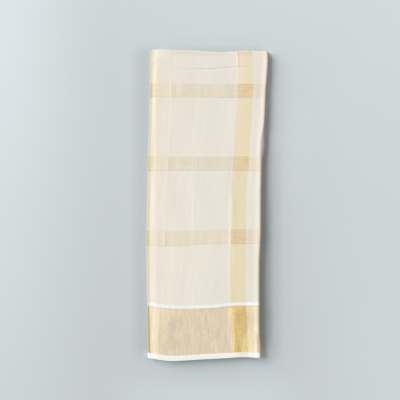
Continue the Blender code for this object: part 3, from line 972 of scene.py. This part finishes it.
def blockLayers(on):
    u, v = on.u, on.v
    yellow = noiseAt(u, v, 26.0, 16.0, shift=21.0).rising(0.38, 0.66)
    # painted highlight where it runs out to both sides, on the left above and at the foot of its right
    # end; paler also under the white line, and in curls near the hem
    sides = (u.falling(-0.238, -0.22) + u.rising(0.03, 0.044)) * (u.rising(-0.1, 0.0) * 0.08 + 0.62)
    left = u.between(-0.236, -0.21, 0.008) * v.rising(0.07, 0.1)
    foot = u.rising(0.02, 0.026) * v.falling(0.045, 0.105)
    top = u.falling(-0.172, -0.14) * v.rising(0.112, 0.146)
    curls = noiseAt(u, v, 75.0, 60.0, shift=35.0).rising(0.56, 0.66)
    curls = curls * u.between(-0.125, -0.062, 0.012) * v.falling(0.07, 0.1)
    pale = sides + left * 0.45 + foot + top * 0.34 + curls * 0.4
    # painted highlight: strongest just right of the stripe, and more so towards the hem
    paintedRightLight = v.falling(0.02, 0.06) * 0.4 + u.falling(0.032, 0.042) * 0.28
    dim = u.between(-0.218, -0.16, 0.01) * v.between(0.03, 0.118, 0.016)
    dim = dim * noiseAt(u, v, 45.0, 30.0, shift=38.0).rising(0.42, 0.6)
    # painted reflection: the stripe is lighter towards its right edge near the hem, where it comes over
    # the ridge, with painted shade left of that and a painted highlight along its left edge
    paintedReflection = v.falling(0.04, 0.085) * (u.rising(-0.004, 0.014) * 1.3 - 0.3)
    paintedEdgeHighlight = u.between(-0.026, -0.0155, 0.003)
    gold = layered("goldBlock", (paintedReflection, "goldPaintedHighlight"), (paintedEdgeHighlight * 0.3, "goldPaintedHighlight"),
                   (paintedReflection * u.rising(-0.0175, -0.0125) * -1.3, "goldPaintedShade"))
    block = layered("block", (yellow, "blockYellow"), (pale, "blockPale"),
                    (paintedRightLight * u.rising(0.02, 0.026), "blockPaintedHighlight"), (dim * 0.16, "blockDim"),
                    (on.stripe, gold))
    firstRow = v.between(0.147, 0.15, 0.0006) * on.slow.rising(0.36, 0.56)
    return (on.block, block), (firstRow * 0.22, "blockDim")


def threadStreaks(on):
    # Fine streaks both ways: warp, slubs and weft, and glints in the block, about 0 on average.
    u, v = on.u, on.v
    warp = noiseAt(u, v, 1100.0, 9.0) + noiseAt(u, v, 330.0, 22.0, detail=3.0, shift=5.0) - 1
    slub = noiseAt(u, v, 60.0, 420.0, detail=3.0, shift=14.0) - 0.5
    weft = noiseAt(u, v, 9.0, 1100.0, shift=3.0) - 0.5
    glint = noiseAt(u, v, 190.0, 150.0, detail=1.0, shift=27.0) - 0.5
    return warp + slub * (on.block * -0.22 + 0.5) + weft * (on.block * -0.42 + 0.6) \
        + glint * on.block * (on.stripe * 0.5 + 0.3)


def paintedWarpStreaks(on):
    # Warp streaks, mostly painted highlight and shade, that show most where gold weft crosses them.
    paintedStreak = sum(on.u.between(at - half, at + half, half) * amount
                for at, half, amount in cloth["paintedStreakLines"])
    paintedStreak = paintedStreak * (on.band * 0.75 + 0.25) * (1 - on.block)
    return paintedStreak * noiseAt(on.u, on.v, 3.0, 7.0, shift=31.0).rising(0.3, 0.55)


def clothMaterial():
    material, tree, shader = newMaterial("handloomCotton")
    on = wovenPattern(tree)
    white = layered("white", (on.u.between(0.023, 0.04, 0.003), "whiteRight"))
    colour = layered(groundColour(on), *bandLayers(on), *blockLayers(on), (on.white, white))
    # the threads show most where gold weft crosses white warp
    threads = threadStreaks(on)
    shade = threads * ((on.band * 0.35 + on.block) * 0.4 + 0.034) + paintedWarpStreaks(on) + 1
    # painted shade along the pressed crease
    colour = toned(colour, shade * (attribute(tree, "paintedCreaseLine") * -0.09 + 1))
    # painted shade on the folds' sides, most of all where the stripe has gold weft
    paintedShadeCover = attribute(tree, "paintedShade") * (on.stripe * (on.band * 0.5 + on.block * 2.2) + 1)
    colour = layered(colour, (paintedShadeCover, layered("side", (on.block, "paintedShadeGold"))))
    golden = on.stripe * 0.15 + on.band * 0.08 + on.block * 0.16 + on.stripe * on.block * 0.08
    golden = golden * (1 - on.white)
    # plain weave: one thread over, one under
    step = 2 * math.pi / cloth["thread"]
    over = calc("SINE", on.u * step) * calc("SINE", on.v * (step * 0.93))
    bump = field(tree, "ShaderNodeBump", {"Height": threads * 0.9 + over * 0.35, "Strength": 0.35,
                                          "Distance": 0.00016})
    setInputs(shader, {
        "Base Color": colour, "Metallic": golden,
        "Roughness": golden * (cloth["goldRoughness"] - cloth["roughness"]) + cloth["roughness"],
        "Specular IOR Level": 0.22, "Sheen Weight": 0.06, "Sheen Roughness": 0.45, "Normal": bump})
    return material


def threadMaterial():
    material, tree, shader = newMaterial("hemThread")
    place = field(tree, "ShaderNodeTexCoord", output="Object")
    twist = field(tree, "ShaderNodeTexWave", {"Vector": place, "Scale": 900.0, "Distortion": 1.5},
                  output="Fac", bands_direction="DIAGONAL")
    bump = field(tree, "ShaderNodeBump", {"Height": twist, "Strength": 0.4, "Distance": 0.0001})
    setInputs(shader, {"Base Color": mixColour(twist, (0.86, 0.85, 0.81), (0.95, 0.94, 0.91)),
                       "Roughness": 0.7, "Normal": bump})
    return material


floorLook = {
    "colour": (0.618, 0.672, 0.693),
    "size": 9.0,
    "z": -0.0002,
    "roughness": 0.85,
    # its tone, and what each soft patch of light or shade adds to it
    "base": 0.969,
    "slope": (0.047, 0.093),  # per metre towards +X and +Y, as far as slopeReach
    "slopeReach": 0.7,
    "nearBundle": -0.019,
    "leftGlow": 0.139,
    "cornerGlow": 0.045,
    "leftLow": -0.034,
    "rightLow": 0.055,
    "below": 0.075,
    "besideLeft": -0.135,
    "leftContact": -0.028,
    "topContact": -0.125,
    "rightContact": 0.16,
    # rectangles: x from and to, how soft, y from and to, how soft, what each adds
    "rectangles": {
        "topShade": (-0.13, 0.17, 0.03, 0.43, 0.490, 0.020, -0.025),
        "rightGlow": (0.205, 0.300, 0.025, 0.03, 0.29, 0.04, 0.020),
        "rightShade": (0.1765, 0.1890, 0.006, -0.400, 0.020, 0.030, -0.085),
        "rightBand": (0.170, 0.216, 0.010, -0.430, 0.160, 0.030, -0.045),
        "rightLower": (0.168, 0.196, 0.008, -0.385, -0.290, 0.020, -0.040),
    },
    # round spots: x, y, radius of the full spot, radius where it ends, what each adds
    "spots": {
        "cornerLight": (0.166, -0.430, 0.004, 0.034, 0.20),
        "cornerSpread": (0.166, -0.430, 0.020, 0.130, 0.03),
        "farCorner": (0.184, 0.436, 0.003, 0.022, 0.15),
    },
}


def distance(offX, offY):
    return calc("SQRT", offX * offX + offY * offY)


def floorTone(x, y):
    look = floorLook
    tone = look["base"]
    for place, slope in zip((x, y), look["slope"]):
        tone = highest(calc("MINIMUM", place, look["slopeReach"]), -look["slopeReach"]) * slope + tone
    # how far a place is from the bundle's rectangle
    awayX, awayY = highest(abs(x) - 0.16, 0.0), highest(abs(y) - 0.42, 0.0) * 2.2
    fromLeft, leaning = x.falling(-0.62, -0.28), y * -0.085 + x
    underBundle, alongSide = x.rising(-0.15, -0.12), y.between(-0.447, 0.457, 0.03)
    patches = {
        "nearBundle": distance(awayX, awayY).falling(0.0, 0.3),
        "leftGlow": fromLeft,
        "cornerGlow": fromLeft * y.rising(-0.1, 0.5),
        "leftLow": fromLeft * y.falling(-0.55, -0.1),
        "rightLow": x.rising(0.2, 0.6) * y.falling(-0.6, 0.0),
        "below": abs(x).falling(0.14, 0.34) * y.falling(-0.56, -0.47),
        "besideLeft": (x.rising(-0.231, -0.186) - underBundle) * alongSide,
        "leftContact": (x.rising(-0.193, -0.171) - underBundle) * alongSide,
        "topContact": x.between(-0.115, 0.165, 0.02) * y.rising(0.4, 0.44) * y.falling(0.447, 0.472),
        "rightContact": leaning.between(0.144, 0.1585, 0.005) * y.between(0.15, 0.435, 0.02),
    }
    for name, patch in patches.items():
        tone = patch * look[name] + tone
    for xLow, xHigh, xSoft, yLow, yHigh, ySoft, amount in look["rectangles"].values():
        tone = x.between(xLow, xHigh, xSoft) * y.between(yLow, yHigh, ySoft) * amount + tone
    for spotX, spotY, full, end, amount in look["spots"].values():
        tone = distance(x - spotX, y - spotY).falling(full, end) * amount + tone
    return tone


def makeFloor():
    half = floorLook["size"] / 2
    t = np.linspace(-half, half, 9)
    x, y = np.meshgrid(t, t, indexing="ij")
    points = np.stack([x, y, 0 * x + floorLook["z"]], -1).reshape(-1, 3)
    floor = meshObject("floor", points, gridFaces(9, 9))
    material, tree, shader = newMaterial("paleFloor")
    place = field(tree, "ShaderNodeTexCoord", output="Object")
    grain = field(tree, "ShaderNodeTexNoise", {"Vector": place, "Scale": 3.0, "Detail": 3.0})
    low, high = (tuple(part * tone for part in floorLook["colour"]) for tone in (0.985, 1.015))
    setInputs(shader, {"Base Color": toned(mixColour(grain, low, high), floorTone(*axesOf(place))),
                       "Roughness": floorLook["roughness"], "Specular IOR Level": 0.2})
    floor.data.materials.append(material)
    return floor


handloom = clothMaterial()
print("materials made")
ply = makeOuterPly()
print("outer ply:", len(ply.data.polygons), "faces")
hemPiece = makeHem()
stitches = makeStitches()
print("hem and stitches:", len(hemPiece.data.polygons), len(stitches.data.polygons), "faces")
plies = makeHiddenPlies()
print("hidden plies:", len(plies.data.polygons), "faces")
makeFloor()

for piece in (ply, hemPiece, plies):
    piece.data.materials.append(handloom)
stitches.data.materials.append(threadMaterial())
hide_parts("upper_panel", "under_panel")
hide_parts("end_hem")
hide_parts("inner_layers")
for piece, slotName in ((ply, "woven_cloth"), (hemPiece, "white_hem"), (stitches, "white_hem"),
                        (plies, "woven_cloth")):
    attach(piece, "root")
